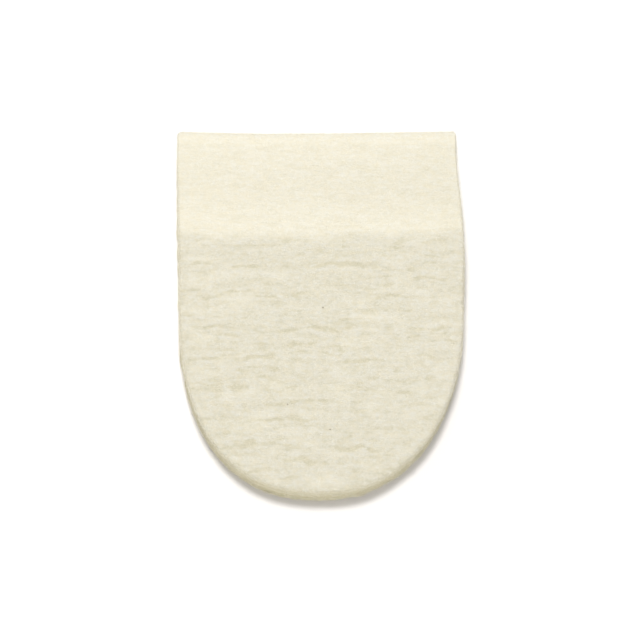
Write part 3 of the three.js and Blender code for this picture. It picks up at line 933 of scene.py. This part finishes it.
def speck_points(speck):
    """A flattened bean: rings of an ellipsoid, bent a little along its length, half sunk in the felt."""
    around = np.arange(SPECK_SIDES) * 2 * np.pi / SPECK_SIDES
    polar = np.pi * np.arange(1, SPECK_RINGS + 1) / (SPECK_RINGS + 1)
    along = -np.cos(polar)[:, None] * np.ones(SPECK_SIDES)
    side = np.sin(polar)[:, None] * np.cos(around)
    up = np.sin(polar)[:, None] * np.sin(around)
    shape = np.stack([along, side + SPECK_BEND * along ** 2, 0.5 * up], axis=-1).reshape(-1, 3)
    shape = np.concatenate([[(-1.0, SPECK_BEND, 0.0)], shape, [(1.0, SPECK_BEND, 0.0)]])
    shape *= (0.5 * speck["long"], 0.5 * speck["wide"], 0.5 * speck["wide"])
    cos_turn = np.cos(speck["turn"])
    sin_turn = np.sin(speck["turn"])
    place = (speck["x"], speck["y"], float(felt_thickness(speck["x"], speck["y"])) + SPECK_HEIGHT)
    return np.column_stack([cos_turn * shape[:, 0] - sin_turn * shape[:, 1],
                            sin_turn * shape[:, 0] + cos_turn * shape[:, 1], shape[:, 2]]) + place


def speck_faces(start):
    """A speck's faces, counted from the number of its first point: a fan at each end and quads between the
    rings."""
    last = start + SPECK_RINGS * SPECK_SIDES + 1
    faces = []
    for k in range(SPECK_SIDES):
        after = (k + 1) % SPECK_SIDES
        faces.append((start, start + 1 + after, start + 1 + k))
        faces.append((last, last - SPECK_SIDES + k, last - SPECK_SIDES + after))
        for level in range(SPECK_RINGS - 1):
            low = start + 1 + level * SPECK_SIDES
            faces.append((low + k, low + after, low + SPECK_SIDES + after, low + SPECK_SIDES + k))
    return faces


speck_size = SPECK_RINGS * SPECK_SIDES + 2
burr_specks = make_piece(
    "burr_specks", np.concatenate([speck_points(speck) for speck in SPECKS]),
    [face for number in range(len(SPECKS)) for face in speck_faces(number * speck_size)], True)
burr = bpy.data.materials.new("burr")
burr.use_nodes = True
burr_tree = burr.node_tree
burr_shader = burr_tree.nodes["Principled BSDF"]
burr_shader.inputs["Roughness"].default_value = 0.8
burr_colour = mix_colours(burr_tree, wool_noise(burr_tree, BURR_GRAIN, 2.0, 0.5), BURR_DARK, BURR_LIGHT)
burr_tree.links.new(burr_colour, burr_shader.inputs["Base Color"])
burr_specks.data.materials.append(burr)
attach(burr_specks, "root")

# The table: a plain white sheet, matt as paper and far wider than the view. The pad only lies on it.
FLOOR_HALF = 3.0
SHEET_FINISH = {"Base Color": (0.95, 0.93, 0.925, 1), "Roughness": 0.9, "Specular IOR Level": 0.0}
floor_corners = [(x * FLOOR_HALF, y * FLOOR_HALF, 0) for x, y in ((-1, -1), (1, -1), (1, 1), (-1, 1))]
floor_mesh = bpy.data.meshes.new("floor")
floor_mesh.from_pydata(floor_corners, [], [(0, 1, 2, 3)])
floor = bpy.data.objects.new("floor", floor_mesh)
bpy.context.scene.collection.objects.link(floor)
white_sheet = bpy.data.materials.new("white_sheet")
white_sheet.use_nodes = True
for label, value in SHEET_FINISH.items():
    white_sheet.node_tree.nodes["Principled BSDF"].inputs[label].default_value = value
floor.data.materials.append(white_sheet)

# The light: a soft box overhead that leans towards the thin edge's end and the left, a low one behind that
# end, a low one before the heel, and even light from all round. Each soft box is round and faces the pad.
# Columns: name, place and size in metres, power in watts.
SOFT_BOXES = (
    ("soft_box_above", (-0.06, 0.225, 0.97), 0.24, 6.38),
    ("soft_box_behind", (-0.20, 0.905, 0.40), 0.7, 3.8),
    ("soft_box_before", (-0.10, -0.97, 0.19), 0.3, 3.3),
)
for box_name, place, size, power in SOFT_BOXES:
    soft_box = bpy.data.objects.new(box_name, bpy.data.lights.new(box_name, "AREA"))
    soft_box.data.shape = "DISK"
    soft_box.data.size = size
    soft_box.data.energy = power
    soft_box.location = place
    soft_box.rotation_euler = (-Vector(place)).to_track_quat("-Z", "Y").to_euler()
    bpy.context.scene.collection.objects.link(soft_box)

ROOM_LIGHT = 0.42
room = bpy.data.worlds.new("room")
room.use_nodes = True
room.node_tree.nodes["Background"].inputs["Color"].default_value = (1.0, 1.0, 1.0, 1)
room.node_tree.nodes["Background"].inputs["Strength"].default_value = ROOM_LIGHT
bpy.context.scene.world = room
bpy.context.scene.view_settings.view_transform = "Standard"

# The camera: above the pad, leaning 18 degrees towards its heel end and a little to its left, with the pad's
# width level in the picture.
LEAN_TO_HEEL = np.radians(18.0)
LEAN_TO_LEFT = np.radians(2.5)
ROLL = np.radians(0.3)
CAMERA_DISTANCE = 0.9
PIXELS_PER_MM = 5.05
PICTURE_PIXELS = 640
SENSOR_WIDTH = 36.0
CLIP_START = 0.01
AIM = Vector((-0.0003, -0.0022, 0.0032))
back = Vector((-np.tan(LEAN_TO_LEFT), -np.tan(LEAN_TO_HEEL), 1.0)).normalized()
right = (Vector((1, 0, 0)) - back.x * back).normalized()
up = back.cross(right)
rolled_right = right * np.cos(ROLL) + up * np.sin(ROLL)
rolled_up = up * np.cos(ROLL) - right * np.sin(ROLL)
camera = bpy.data.objects.new("camera", bpy.data.cameras.new("camera"))
camera.data.sensor_width = SENSOR_WIDTH
camera.data.lens = SENSOR_WIDTH * (PIXELS_PER_MM / MM) * CAMERA_DISTANCE / PICTURE_PIXELS
camera.data.clip_start = CLIP_START
turned = Matrix((rolled_right, rolled_up, back)).transposed().to_4x4()
camera.matrix_world = Matrix.Translation(AIM + back * CAMERA_DISTANCE) @ turned
bpy.context.scene.collection.objects.link(camera)
bpy.context.scene.camera = camera
